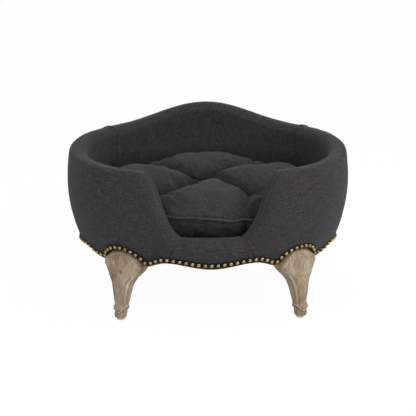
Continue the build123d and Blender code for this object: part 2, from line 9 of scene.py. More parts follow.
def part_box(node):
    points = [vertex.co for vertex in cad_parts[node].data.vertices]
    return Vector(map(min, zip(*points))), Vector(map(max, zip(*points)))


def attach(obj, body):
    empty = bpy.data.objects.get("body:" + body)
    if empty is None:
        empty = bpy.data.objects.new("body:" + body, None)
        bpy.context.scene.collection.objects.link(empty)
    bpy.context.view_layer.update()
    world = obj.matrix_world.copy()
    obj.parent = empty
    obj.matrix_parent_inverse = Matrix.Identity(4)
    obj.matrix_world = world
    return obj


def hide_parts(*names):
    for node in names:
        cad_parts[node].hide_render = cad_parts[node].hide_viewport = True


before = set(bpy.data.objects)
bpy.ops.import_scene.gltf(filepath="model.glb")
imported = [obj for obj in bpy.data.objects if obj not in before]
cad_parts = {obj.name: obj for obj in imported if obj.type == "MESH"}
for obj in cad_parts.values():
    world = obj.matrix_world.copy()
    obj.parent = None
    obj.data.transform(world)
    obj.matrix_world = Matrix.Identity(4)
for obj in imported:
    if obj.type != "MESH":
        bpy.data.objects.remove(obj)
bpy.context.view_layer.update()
scene = bpy.context.scene
print("frame loaded")

# Lengths in metres, angles in degrees; the bed stands on z 0 and its low front looks along -Y


# small helpers
def unit(value):
    return min(1.0, max(0.0, value))


def bell(value, width):
    return np.exp(-((value / width) ** 2))


def ease(share):
    return (1 - cos(pi * share)) / 2


def runLength(points):
    return np.concatenate([[0], np.cumsum(np.linalg.norm(np.diff(points, axis=0), axis=1))])


def pickOnly(*pieces):
    bpy.ops.object.select_all(action="DESELECT")
    for piece in pieces:
        piece.select_set(True)
    bpy.context.view_layer.objects.active = pieces[-1]


def newPiece(name):
    piece = bpy.context.object
    piece.name = name
    return piece


def applyModifier(piece, kind, name, **settings):
    pickOnly(piece)
    modifier = piece.modifiers.new(name, kind)
    for key, value in settings.items():
        setattr(modifier, key, value)
    bpy.ops.object.modifier_apply(modifier=name)


def readPoints(piece, kind="co"):
    values = np.empty(len(piece.data.vertices) * 3)
    piece.data.vertices.foreach_get(kind, values)
    return values.reshape(-1, 3)


def writePoints(piece, points):
    piece.data.vertices.foreach_set("co", np.asarray(points, dtype=float).ravel())
    piece.data.update()


def storeMark(piece, name, values):
    piece.data.attributes.new(name, "FLOAT", "POINT").data.foreach_set("value", values)


def storeUv(piece, places):
    corners = np.empty(len(piece.data.loops), dtype=int)
    piece.data.loops.foreach_get("vertex_index", corners)
    layer = piece.data.uv_layers.active or piece.data.uv_layers.new(name="UVMap")
    layer.data.foreach_set("uv", places[corners].ravel())


def dress(piece, material, body, angle=None):
    pickOnly(piece)
    if angle is None:
        bpy.ops.object.shade_smooth()
    else:
        bpy.ops.object.shade_smooth_by_angle(angle=radians(angle))
    piece.data.materials.clear()
    piece.data.materials.append(material)
    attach(piece, body)


# materials
shader = {}  # the node tree being filled


def newMaterial(name):
    material = bpy.data.materials.new(name)
    material.use_nodes = True
    shader["tree"] = material.node_tree
    return material, material.node_tree.nodes["Principled BSDF"]


def setSockets(sockets, values):
    for key, value in values.items():
        if isinstance(value, bpy.types.NodeSocket):
            shader["tree"].links.new(value, sockets[key])
        elif value is not None:
            sockets[key].default_value = value


def addNode(kind, inputs=None, **settings):
    made = shader["tree"].nodes.new("ShaderNode" + kind)
    for key, value in settings.items():
        setattr(made, key, value)
    setSockets(made.inputs, inputs or {})
    return made.outputs


def mathNode(operation, first, second=None):
    return addNode("Math", {0: first, 1: second}, operation=operation)[0]


def multiply(first, second):
    return mathNode("MULTIPLY", first, second)


def rampNode(factor, stops):
    made = shader["tree"].nodes.new("ShaderNodeValToRGB")
    setSockets(made.inputs, {0: factor})
    elements = made.color_ramp.elements
    while len(elements) < len(stops):
        elements.new(0.5)
    for element, (place, colour) in zip(elements, stops):
        element.position = place
        element.color = (*colour, 1)
    return made.outputs["Color"]


def rangeNode(value, low, high, toLow=0.0, toHigh=1.0):
    return addNode("MapRange", {0: value, 1: low, 2: high, 3: toLow, 4: toHigh})[0]


def markNode(name):
    return addNode("Attribute", attribute_name=name)["Fac"]


def noiseNode(vector, scale, detail, roughness=0.55, location=(0, 0, 0)):
    place = addNode("Mapping", {"Vector": vector, "Scale": scale, "Location": location})[0]
    inputs = {"Vector": place, "Scale": 1.0, "Detail": detail, "Roughness": roughness}
    return addNode("TexNoise", inputs)[0]


def mixNode(factor, first, second, blend="MIX"):
    first, second = (one if isinstance(one, bpy.types.NodeSocket) else (*one, 1) for one in (first, second))
    return addNode("Mix", {0: factor, 6: first, 7: second}, data_type="RGBA", blend_type=blend)[2]


def bumpNode(height, strength, distance):
    return addNode("Bump", {"Height": height, "Strength": strength, "Distance": distance})[0]


weave = dict(
    pitch=0.00125, fineness=520.0, slubLength=34.0, streakLength=62.0,
    colours=[(0.0205, 0.0192, 0.0204), (0.0475, 0.0445, 0.0465), (0.090, 0.084, 0.086)],
    stops=[(0.30, 0.62, 0.80), (0.25, 0.50, 0.74)], slubStarts=[(0, 0, 0), (7, 3, 0)],
    streakStarts=[(2, 5, 0), (4, 1, 0)], streakTones=(0.74, 1.24), valleyTones=(0.55, 1.12), paintedShadeStrength=0.88,
    roughness=0.94, sheen=0.12, sheenSpread=0.28, gloss=0.18, bump=0.7, depth=0.0004,
)


def linenMaterial(name, coordinate="UV", shade=1.0, turn=0.0):
    material, surface = newMaterial(name)
    texture = addNode("TexCoord")[coordinate]
    place = addNode("Mapping", {"Vector": texture, "Rotation": (0, 0, turn)})[0]
    split = addNode("SeparateXYZ", {0: place})
    across, along = (mathNode("DIVIDE", split[k], weave["pitch"]) for k in (0, 1))
    # warp over weft, turn and turn about
    cell = mathNode("ADD", mathNode("FLOOR", across), mathNode("FLOOR", along))
    warpUp = mathNode("ABSOLUTE", mathNode("MODULO", cell, 2.0))
    heights, colours, streaks = [], [], []
    for k, threads in enumerate((across, along)):
        # slubs and streaks run along each set of threads
        order = (1, -1)[k]
        slubSize = (weave["fineness"], weave["slubLength"])[::order] + (1,)
        streakSize = (weave["fineness"], weave["streakLength"])[::order] + (1,)
        slub = noiseNode(place, slubSize, 3.0, location=weave["slubStarts"][k])
        streaks.append(noiseNode(place, streakSize, 2.0, location=weave["streakStarts"][k]))
        bulge = mathNode("ABSOLUTE", mathNode("SINE", multiply(threads, pi)))
        heights.append(multiply(bulge, mathNode("ADD", slub, 0.5)))
        colours.append(rampNode(slub, list(zip(weave["stops"][k], weave["colours"]))))
    height = addNode("Mix", {0: warpUp, 2: heights[1], 3: heights[0]})[0]
    low, high = weave["streakTones"]
    streak = rangeNode(mathNode("ADD", *streaks), 0.75, 1.25, low * shade, high * shade)
    # painted shade in the valleys between the threads, paler on their crowns
    valley = rangeNode(height, 0.0, 0.9, *weave["valleyTones"])
    # painted shade where nails and stitches pull the cloth in, in the cushion's creases and down inside the tub;
    # painted highlight along the rim's outer corner and painted light on the tub's inner wall
    paintedShadeTone = mathNode("SUBTRACT", 1.0, multiply(markNode("paintedShadeAndLight"), weave["paintedShadeStrength"]))
    tone = multiply(multiply(streak, valley), paintedShadeTone)
    grey = addNode("CombineColor", {0: tone, 1: tone, 2: tone})[0]
    setSockets(surface.inputs, {
        "Base Color": mixNode(1.0, mixNode(warpUp, colours[1], colours[0]), grey, "MULTIPLY"),
        "Normal": bumpNode(height, weave["bump"], weave["depth"]), "Roughness": weave["roughness"],
        "Sheen Weight": weave["sheen"], "Sheen Roughness": weave["sheenSpread"], "Specular IOR Level": weave["gloss"],
    })
    return material


oak = dict(
    dark=(0.105, 0.062, 0.034), brown=(0.205, 0.128, 0.070), middle=(0.312, 0.228, 0.142),
    pale=(0.420, 0.340, 0.238), lime=(0.640, 0.590, 0.500), pores=(0.55, 0.92, 1.05), poreShare=0.62,
    grain=330.0, grainStretch=0.10, figure=30.0, figureStretch=0.42, wander=0.03, stain=0.75,
    knotRings=2600.0, knotReach=(0.0025, 0.0075), bump=0.45, depth=0.0007, gloss=0.3,
)


def oakMaterial(name, along="Z", seed=0.0, knot=None):
    material, surface = newMaterial(name)
    texture = addNode("TexCoord")["Object"]
    # the grain wanders a little instead of running dead straight
    drift = noiseNode(texture, (9, 9, 9), 2.0, location=(seed, 3, seed))
    wander = multiply(mathNode("SUBTRACT", drift, 0.5), oak["wander"])
    wander = addNode("CombineXYZ", {0: wander, 1: wander, 2: wander})[0]
    bent = addNode("VectorMath", {0: texture, 1: wander}, operation="ADD")[0]
    fine, broad = (
        [oak[size] * (oak[size + "Stretch"] if axis == along else 1) for axis in "XYZ"] for size in ("grain", "figure")
    )
    grain = noiseNode(bent, fine, 5.0, 0.62, (seed, seed, seed))
    figure = noiseNode(bent, broad, 4.0, 0.6, (seed, 2 * seed, seed))
    wear = noiseNode(texture, (34, 34, 22), 4.0, 0.65, (seed, 0, seed))
    base = rampNode(figure, [(0.30, oak["brown"]), (0.46, oak["middle"]), (0.66, oak["pale"])])
    pores = rampNode(grain, [(place, (tone,) * 3) for place, tone in zip((0.32, 0.45, 0.60), oak["pores"])])
    shaded = mixNode(oak["poreShare"], base, pores, "MULTIPLY")
    limed = multiply(rangeNode(grain, 0.50, 0.66, 0.10, 0.80), rangeNode(wear, 0.42, 0.66))
    colour = mixNode(limed, shaded, oak["lime"])
    # darker in the hollows of the carving and along its edges, partly real stain and partly painted shade, and lime on
    # its crests
    carved = markNode("carved")
    hollow = multiply(mathNode("MAXIMUM", carved, 0.0), oak["stain"])
    crest = multiply(mathNode("MINIMUM", carved, 0.0), -oak["stain"])
    colour = mixNode(crest, mixNode(hollow, colour, oak["dark"]), oak["lime"])
    if knot is not None:
        away = addNode("VectorMath", {0: texture, 1: knot}, operation="DISTANCE")["Value"]
        rings = mathNode("SINE", multiply(away, oak["knotRings"]))
        near = rangeNode(away, *oak["knotReach"], 0.85, 0.0)
        knotShare = multiply(near, rangeNode(rings, -1.0, 1.0, 0.65, 0.90))
        colour = mixNode(knotShare, colour, oak["dark"])
    setSockets(surface.inputs, {
        "Base Color": colour, "Roughness": rangeNode(wear, 0.3, 0.7, 0.62, 0.82),
        "Normal": bumpNode(grain, oak["bump"], oak["depth"]), "Specular IOR Level": oak["gloss"],
    })
    return material


def plainMaterial(
    name, colours, roughness, scale, stretch=(1, 1, 1), metal=0.0, bump=0.3, depth=0.0005, sheen=0.0, patinaAndShade=None
):
    material, surface = newMaterial(name)
    texture = addNode("TexCoord")["Object"]
    spread = noiseNode(texture, [s * scale for s in stretch], 4.0, 0.6)
    patch = noiseNode(texture, (scale * 0.13,) * 3, 2.0)
    both = mathNode("ADD", multiply(spread, 0.65), multiply(patch, 0.35))
    colour = rampNode(both, list(zip((0.30, 0.50, 0.70), colours)))
    if patinaAndShade:
        # dark towards the rim, where polish and hands never reach, partly real patina and partly painted shade; a
        # painted highlight on the crown
        colour = mixNode(rangeNode(markNode("crown"), 0.22, 0.86), patinaAndShade, colour)
    setSockets(surface.inputs, {
        "Base Color": colour, "Roughness": rangeNode(both, 0.3, 0.7, *roughness),
        "Normal": bumpNode(spread, bump, depth), "Metallic": metal, "Sheen Weight": sheen,
    })
    return material


linen = linenMaterial("charcoalLinen")
# lighter copy of the same linen for the piping, a painted highlight; darker copy for the deck, a painted shade
linenCord = linenMaterial("charcoalLinenBias", turn=radians(45), shade=1.25)
deckLinen = linenMaterial("charcoalDeckLinen", coordinate="Object", shade=0.9)
brass = plainMaterial(
    "antiqueBrass", [(0.150, 0.086, 0.030), (0.450, 0.300, 0.112), (0.88, 0.69, 0.37)], (0.27, 0.15), 420,
    metal=1.0, bump=0.35, depth=0.0004, patinaAndShade=(0.024, 0.013, 0.006),
)
foam = plainMaterial(
    "wrapFoam", [(0.52, 0.47, 0.33), (0.70, 0.65, 0.48), (0.80, 0.76, 0.62)], (0.9, 0.96), 900,
    bump=0.8, depth=0.0006,
)
ply = plainMaterial(
    "birchPly", [(0.36, 0.24, 0.13), (0.52, 0.38, 0.23), (0.63, 0.49, 0.32)], (0.6, 0.75), 160, (0.12, 1, 3), bump=0.4
)
beech = plainMaterial(
    "beechDowel", [(0.42, 0.27, 0.16), (0.58, 0.41, 0.27), (0.66, 0.50, 0.36)], (0.55, 0.7), 300, (1, 1, 0.2), bump=0.4
)
zinc = plainMaterial(
    "zincSteel", [(0.30, 0.30, 0.31), (0.46, 0.46, 0.47), (0.62, 0.62, 0.63)], (0.42, 0.26), 700,
    metal=1.0, bump=0.2, depth=0.0001,
)
felt = plainMaterial(
    "blackUndercloth", [(0.008, 0.008, 0.009), (0.020, 0.020, 0.021), (0.042, 0.041, 0.042)], (0.92, 0.99), 700,
    bump=0.7, depth=0.0004, sheen=0.2,
)
nylon = plainMaterial(
    "paleNylon", [(0.50, 0.48, 0.44), (0.66, 0.64, 0.60), (0.76, 0.75, 0.71)], (0.42, 0.6), 240,
    bump=0.15, depth=0.0003,
)
fibre = plainMaterial(
    "fibreFill", [(0.62, 0.60, 0.56), (0.78, 0.77, 0.73), (0.88, 0.87, 0.84)], (0.9, 0.98), 420,
    bump=0.9, depth=0.0015, sheen=0.3,
)
thread = plainMaterial(
    "charcoalThread", [(0.020, 0.019, 0.020), (0.045, 0.042, 0.045), (0.08, 0.075, 0.08)], (0.7, 0.85), 1400,
    (1, 1, 0.3), bump=0.6, depth=0.0002, sheen=0.3,
)
print("materials made")

# the tub's form
tub = dict(
    halfWidth=0.350, halfDepth=0.280, belly=0.300, barrel=0.375,
    reach=0.051, innerBelly=0.335, innerBarrel=0.463, roll=0.0235,
    hump=0.450, shoulder=0.398, frontRim=0.365, sill=0.207,
    openingSill=0.156, openingRim=0.322, rearSeam=38.0,
    apronLow=0.132, edgeRise=0.002, liningFoot=0.1739,
    frontScallop=(0.1335, 0.146, 0.108, 0.149), sideScallop=(0.140, 0.147, 0.092, 0.136),
    railInset=0.0386, legPlace=49.5, kneeRadius=0.0565, kneeCentre=0.1095, kneeGap=0.0006,
)
openingShares = [(0.0, 0.0), (0.14, 0.06), (0.34, 0.23), (0.52, 0.49), (0.66, 0.76), (0.83, 0.95), (1.0, 1.0)]
riseShares = [(0.0, 0.0), (0.14, 0.03), (0.30, 0.13), (0.50, 0.36), (0.70, 0.68), (0.86, 0.90), (1.0, 1.0)]


def outerLean(height):
    return -(height - tub["belly"]) ** 2 / (2 * tub["barrel"])


def innerLean(height):
    return -tub["reach"] - (height - tub["innerBelly"]) ** 2 / (2 * tub["innerBarrel"])


def rollAt(rim):
    turn = rim - tub["roll"]
    for step in range(3):
        turn = rim - (outerLean(turn) - innerLean(turn)) / 2
    return turn, (outerLean(turn) - innerLean(turn)) / 2


tub["forward"] = outerLean(rollAt(tub["sill"])[0]) / 2  # the tub stands this far in front of its oval's middle


def wallPoint(angle, lean, height):
    return Vector((
        (tub["halfWidth"] + lean) * cos(radians(angle)),
        (tub["halfDepth"] + lean) * sin(radians(angle)) + tub["forward"],
        height,
    ))


def smoothLine(knots, places):
    knots = np.asarray(knots, dtype=float)
    run = runLength(knots / [1.0, 0.004])  # a degree counts for as much as 4 mm of height
    run /= run[-1]
    order = np.arange(len(run))
    ahead, behind = np.minimum(order + 1, order[-1]), np.maximum(order - 1, 0)
    slopes = (knots[ahead] - knots[behind]) / (run[ahead] - run[behind])[:, None]
    out = []
    for place in places:
        k = min(max(int(np.searchsorted(run, place)) - 1, 0), len(run) - 2)
        width = run[k + 1] - run[k]
        t = (place - run[k]) / width
        a, b = knots[k], knots[k + 1]
        out.append(
            (2 * t**3 - 3 * t**2 + 1) * a + (t**3 - 2 * t**2 + t) * width * slopes[k]
            + (-2 * t**3 + 3 * t**2) * b + (t**3 - t**2) * width * slopes[k + 1]
        )
    return np.array(out)


def openingStation(place, rise):
    x = (tub["openingSill"] + place * (tub["openingRim"] - tub["openingSill"])) / 2
    return -degrees(acos(x / (tub["halfWidth"] - tub["roll"]))), tub["sill"] + rise * (tub["frontRim"] - tub["sill"])


openingEdge = [openingStation(*share) for share in openingShares]
frontSeam, jamb = openingEdge[0][0], openingEdge[-1][0]
sideEdge = [
    (jamb + place * (tub["rearSeam"] - jamb), tub["frontRim"] + rise * (tub["shoulder"] - tub["frontRim"]))
    for place, rise in riseShares
]
sideKnots = openingEdge + sideEdge[1:]
humpKnots = []
for step in range(13):
    angle = tub["rearSeam"] + (180 - 2 * tub["rearSeam"]) * step / 12
    share = cos(radians(angle)) / cos(radians(tub["rearSeam"]))
    humpKnots.append((angle, tub["shoulder"] + (tub["hump"] - tub["shoulder"]) * (1 + cos(pi * share)) / 2))
frontKnots = [(-180 - frontSeam, tub["sill"]), (-90, tub["sill"]), (frontSeam, tub["sill"])]

railHalfWidth = tub["halfWidth"] - tub["railInset"]
railHalfDepth = tub["halfDepth"] - tub["railInset"]
legTurn = radians(tub["legPlace"])
legX, legY = railHalfWidth * cos(legTurn), railHalfDepth * sin(legTurn)
sweepRate = hypot(railHalfWidth * sin(legTurn), railHalfDepth * cos(legTurn))


def scallop(place, centre, high, highPlace, endPlace):
    place = min(abs(place), endPlace)
    if place < highPlace:
        return centre + (high - centre) * ease(place / highPlace)
    return high - (high - tub["apronLow"]) * ease((place - highPlace) / (endPlace - highPlace))


def footHeight(angle):
    x, y = railHalfWidth * cos(radians(angle)), railHalfDepth * sin(radians(angle))
    if abs(sin(radians(angle))) > sin(legTurn):
        low = scallop(x, *tub["frontScallop"])
    else:
        low = scallop(y, *tub["sideScallop"])
    low += tub["edgeRise"]
    folded = abs((angle + 180) % 360 - 180)
    across = radians(min(folded, 180 - folded) - tub["legPlace"]) * sweepRate
    reach = tub["kneeRadius"] + tub["kneeGap"]
    if abs(across) < reach:
        low = max(low, tub["kneeCentre"] + sqrt(reach**2 - across**2))
    return low


def wallLine(rim, foot, counts):
    turn, radius = rollAt(rim)
    middle = (outerLean(turn) + innerLean(turn)) / 2
    outer = [foot + (turn - foot) * step / counts[0] for step in range(counts[0])]
    swings = [pi * step / counts[1] for step in range(counts[1])]
    inner = [turn + (tub["liningFoot"] - turn) * step / counts[2] for step in range(counts[2] + 1)]
    line = [(outerLean(height), height) for height in outer]
    line += [(middle + radius * cos(swing), turn + radius * sin(swing)) for swing in swings]
    return line + [(innerLean(height), height) for height in inner]


# domed nails, where the cloth is pulled in
nailRow = dict(
    pitch=0.0146, edge=0.010, pull=0.0011, spread=0.0052, radius=0.0053, rise=0.0050, under=0.0008,
    gap=0.00065, tilt=0.6, sway=0.05,
)


def evenSpots(line):
    angles, heights = np.array(line).T
    run = runLength([wallPoint(angle, outerLean(height), height) for angle, height in line])
    marks = np.linspace(0, run[-1], round(run[-1] / nailRow["pitch"]) + 1)
    return list(zip(np.interp(marks, run, angles), np.interp(marks, run, heights)))


def nailSpots():
    circle = tub["kneeRadius"] + nailRow["edge"]
    turn = asin((tub["apronLow"] + nailRow["edge"] + tub["edgeRise"] - tub["kneeCentre"]) / circle)
    reach = degrees(circle * cos(turn) / sweepRate)
    shares = [step / 60 for step in range(61)]
    spots = {"front_knee_nails": [], "rear_knee_nails": []}
    place = tub["legPlace"]
    for middle in (place, 180 - place, 180 + place, 360 - place):
        line = []
        for share in shares:
            swing = turn + (pi - 2 * turn) * share
            line.append((middle + degrees(circle * cos(swing) / sweepRate), tub["kneeCentre"] + circle * sin(swing)))
        spots["front_knee_nails" if middle > 180 else "rear_knee_nails"] += evenSpots(line)
    spans = {
        "right_nails": (0, place), "rear_nails": (90, 90 - place),
        "left_nails": (180, place), "front_nails": (270, 90 - place),
    }
    for node, (middle, span) in spans.items():
        start, end = middle - span + reach, middle + span - reach
        angles = [start + (end - start) * share for share in shares]
        # the arches hold the nails at both ends
        spots[node] = evenSpots([(angle, footHeight(angle) + nailRow["edge"]) for angle in angles])[1:-1]
    return spots


def makeNails(node, spots):
    words = node.split("_")
    bpy.ops.object.select_all(action="DESELECT")
    bpy.ops.mesh.primitive_uv_sphere_add(segments=20, ring_count=12, radius=1.0)
    dome = newPiece(words[0] + "".join(word.capitalize() for word in words[1:]))
    points = readPoints(dome)
    crown = np.clip(points[:, 2], 0, 1)
    points[:, :2] *= nailRow["radius"]
    points[:, 2] *= np.where(points[:, 2] > 0, nailRow["rise"], nailRow["under"])
    writePoints(dome, points)
    storeMark(dome, "crown", crown)
    heads = [dome] + [dome.copy() for spot in spots[1:]]
    for k, (head, (angle, height)) in enumerate(zip(heads, spots)):
        if k:
            scene.collection.objects.link(head)
        lean = outerLean(height) + nailRow["gap"]
        x, y = cos(radians(angle)) / (tub["halfWidth"] + lean), sin(radians(angle)) / (tub["halfDepth"] + lean)
        size = hypot(x, y)
        way = Vector((x / size, y / size, nailRow["tilt"] * (height - tub["belly"]) / tub["barrel"])).normalized()
        # hand set, so no two sit quite alike
        way += nailRow["sway"] * Vector([noise.noise(Vector((k, a, b))) for a, b in ((1, 5), (4, 2), (7, 9))])
        head.location = wallPoint(angle, lean, height)
        head.rotation_mode = "QUATERNION"
        head.rotation_quaternion = way.to_track_quat("Z", "Y")
    pickOnly(*reversed(heads))
    dome.data = dome.data.copy()
    bpy.ops.object.join()
    bpy.ops.object.transform_apply(location=True, rotation=True, scale=True)
    dress(dome, brass, "bed")
    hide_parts(node)
    return len(spots)


nailRows = nailSpots()
nails = np.array([wallPoint(angle, outerLean(height), height) for row in nailRows.values() for angle, height in row])
print("nails set", {node: makeNails(node, spots) for node, spots in nailRows.items()})

# cloth covers
cover = dict(
    columnStep=0.0042, rows=(44, 20, 40), seamSteps=[0.0, 0.0007, 0.0016, 0.0027, 0.0042, 0.0065, 0.0095],
    thickness=0.0011, seamPull=0.0010, seamSpread=0.0014, seamSoft=0.0009, seamSoftAt=0.006, seamSoftSpread=0.008,
    unevenness=0.0008, fineUnevenness=0.00030, calmReach=0.02, edgeTurn=[0.0006, 0.00021], search=0.014,
    skew=6.0, skewTop=0.207, skewDrop=0.067, skewFoot=0.147, skewReach=0.11, uvRise=1.05,
    rimCorner=0.0034, rimCornerAt=0.85, rimCornerSpread=0.40, seamKnot=0.0022, seamKnotAt=0.0035,
    nailShadeReach=0.0092, pleat=0.00035, pleatWidth=0.0028, pleatLength=0.011,
    seamShade=1.0, seamShadeInside=0.15, seamLine=0.0015, paintedRimHighlight=0.38, paintedRimHighlightSpread=0.11,
    jambDark=0.55, insideDark=0.45, paintedInsideLight=0.85, insideTop=0.335,
)


solidPoints, solidFaces = [], []
for node in ("cover_front", "cover_back", "cover_left", "cover_right"):
    mesh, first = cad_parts[node].data, len(solidPoints)
    solidPoints += [vertex.co.copy() for vertex in mesh.vertices]
    solidFaces += [[first + index for index in face.vertices] for face in mesh.polygons]
coverSolids = BVHTree.FromPolygons(solidPoints, solidFaces)


def skewAt(height):
    return cover["skew"] * min(1.2, max(0.0, (cover["skewTop"] - height) / cover["skewDrop"]))


def runPlaces(knots):
    fine = smoothLine(knots, np.linspace(0, 1, 401))
    run = runLength([wallPoint(angle, -0.025, rim) for angle, rim in fine])
    steps = cover["seamSteps"]
    inner = np.arange(steps[-1], run[-1] - steps[-1], cover["columnStep"])
    marks = sorted({round(mark, 6) for mark in [*steps[:-1], *inner, *(run[-1] - step for step in steps)]})
    return np.interp(marks, run, np.linspace(0, 1, 401)), np.array(marks), run[-1]


def evenOut(values, rounds):
    for step in range(2 * rounds):
        padded = np.pad(values, ((1, 1), (0, 0)), mode="edge")
        values = (padded[:-2] / 4 + values / 2 + padded[2:] / 4).T
    return values


def standProud(table, normal):
    proud = np.full(table.shape[:2], np.nan)
    for i, j in np.ndindex(*proud.shape):
        point, way = Vector(table[i, j]), Vector(normal[i, j])
        hit = coverSolids.ray_cast(point + way * cover["search"], -way, 2 * cover["search"])
        if hit[0] is not None:
            proud[i, j] = cover["search"] - hit[3]
    # places that found no cloth take their neighbours' value
    for lines in (proud, proud.T):
        for line in lines:
            good = ~np.isnan(line)
            if good.any():
                line[:] = np.interp(np.arange(len(line)), np.where(good)[0], line[good])
    return evenOut(np.nan_to_num(proud), 3)


def makeCover(name, knots, node, seamLean):
    places, marks, total = runPlaces(knots)
    stations = smoothLine(knots, places)
    counts = cover["rows"]
    rows = sum(counts) + 1
    bpy.ops.object.select_all(action="DESELECT")
    bpy.ops.mesh.primitive_grid_add(x_subdivisions=len(places) - 1, y_subdivisions=rows - 1, size=2)
    piece = newPiece(name)
    grid = readPoints(piece)
    columns = np.rint((grid[:, 0] + 1) / 2 * (len(places) - 1)).astype(int)
    levels = np.rint((grid[:, 1] + 1) / 2 * (rows - 1)).astype(int)
    table = np.empty((len(places), rows, 3))
    for i, (angle, rim) in enumerate(stations):
        share = seamLean(marks[i], total)
        foot = footHeight(angle + share * skewAt(cover["skewFoot"]))
        for j, (lean, height) in enumerate(wallLine(rim, foot, counts)):
            turned = angle + share * skewAt(height) if j < counts[0] + counts[1] // 2 else angle
            table[i, j] = wallPoint(turned, lean, height)
    run = np.array([runLength(column) for column in table])
    run += cover["uvRise"] * (table[:, :1, 2] - tub["apronLow"])
    normal = np.cross(np.gradient(table, axis=0), np.gradient(table, axis=1))
    normal /= np.linalg.norm(normal, axis=2)[:, :, None] + 1e-12
    table += normal * standProud(table, normal)[:, :, None]
    fromSeam = np.minimum(marks, total - marks)[:, None]
    push = np.zeros(table.shape[:2])
    push -= cover["seamPull"] * bell(fromSeam, cover["seamSpread"])
    push += cover["seamSoft"] * bell(fromSeam - cover["seamSoftAt"], cover["seamSoftSpread"]) * (fromSeam > 0)
    # the rim's outer corner is tighter than a half round, and the rear seams pucker where they cross it
    swing = np.clip((np.arange(rows) - counts[0]) / counts[1], 0, 1) * pi
    rimHeight = stations[:, 1][:, None]
    corner = swing - cover["rimCornerAt"]
    push += cover["rimCorner"] * bell(corner, cover["rimCornerSpread"])
    overRim = np.sin(swing) ** 2 * (rimHeight > tub["shoulder"] - 0.004)
    push += cover["seamKnot"] * bell(fromSeam - cover["seamKnotAt"], cover["seamKnotAt"]) * overRim
    low = slice(counts[0] // 2 + 6)
    shade = np.zeros(table.shape[:2])
    for spot in nails:
        away = table[:, low] - spot
        flatAway = np.hypot(away[..., 0], away[..., 1])
        distance = np.linalg.norm(away, axis=2)
        push[:, low] -= nailRow["pull"] * bell(distance, nailRow["spread"])
        # a short pleat runs up from each nail
        fading = np.exp(-np.clip(away[..., 2], 0, None) / cover["pleatLength"]) * (away[..., 2] > 0)
        push[:, low] -= cover["pleat"] * bell(flatAway, cover["pleatWidth"]) * fading
        # painted shade around each nail
        shade[:, low] = np.maximum(shade[:, low], np.exp(-((distance / cover["nailShadeReach"]) ** 4)))
    calm = np.clip(fromSeam / cover["calmReach"], 0.15, 1)
    for i, j in np.ndindex(*push.shape):
        point = Vector(table[i, j])
        fine = cover["fineUnevenness"] * noise.noise(point * 37 + Vector((3, 1, 4)))
        push[i, j] += (cover["unevenness"] * noise.noise(point * 11) + fine) * calm[i, 0]
    push[:, :2] -= cover["edgeTurn"]
    table += normal * push[:, :, None]
    writePoints(piece, table[columns, levels])
    # painted highlight along the rim's outer corner, on its upper part
    high = np.clip((rimHeight - 0.30) / 0.05, 0, 1)
    shade -= cover["paintedRimHighlight"] * high * bell(corner, cover["paintedRimHighlightSpread"])
    # painted shade inside the opening and down in the tub beside the cushion, and painted light over the tub's inner
    # wall
    inOpening = np.clip((tub["frontRim"] + 0.006 - rimHeight) / 0.03, 0, 1)
    shade = np.maximum(shade, cover["jambDark"] * inOpening * np.clip((swing / pi - 0.42) / 0.40, 0, 1))
    inside = np.arange(rows) >= counts[0] + counts[1]
    shade -= cover["paintedInsideLight"] * inside
    depth = np.clip((cover["insideTop"] - table[:, :, 2]) / 0.030, 0, 1)
    shade = np.maximum(shade, cover["insideDark"] * inside * depth)
    # painted shade along the seams, strong on the outer rows and faint on the inner rows
    dark = np.where(np.arange(rows) < counts[0] + counts[1] // 3, cover["seamShade"], cover["seamShadeInside"])
    shade = np.maximum(shade, dark * bell(fromSeam, cover["seamLine"]))
    storeMark(piece, "paintedShadeAndLight", shade[columns, levels])
    storeUv(piece, np.stack([marks[columns], run[columns, levels]], axis=1))
    applyModifier(piece, "SOLIDIFY", "clothThickness", thickness=cover["thickness"], offset=-1.0)
    dress(piece, linen, "bed")
    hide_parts(node)
    return len(piece.data.polygons)


def leanFade(run):
    return max(0.0, 1 - run / cover["skewReach"]) ** 1.5


leftKnots = [(180 - angle, rim) for angle, rim in reversed(sideKnots)]
print("covers made", [
    makeCover(
        "rightCover", sideKnots, "cover_right",
        lambda mark, total: leanFade(mark),
    ),
    makeCover(
        "leftCover", leftKnots, "cover_left",
        lambda mark, total: -leanFade(total - mark),
    ),
    makeCover("backCover", humpKnots, "cover_back", lambda mark, total: 0.0),
    makeCover(
        "frontCover", frontKnots, "cover_front", lambda mark, total: 2 * mark / total - 1
    ),
])

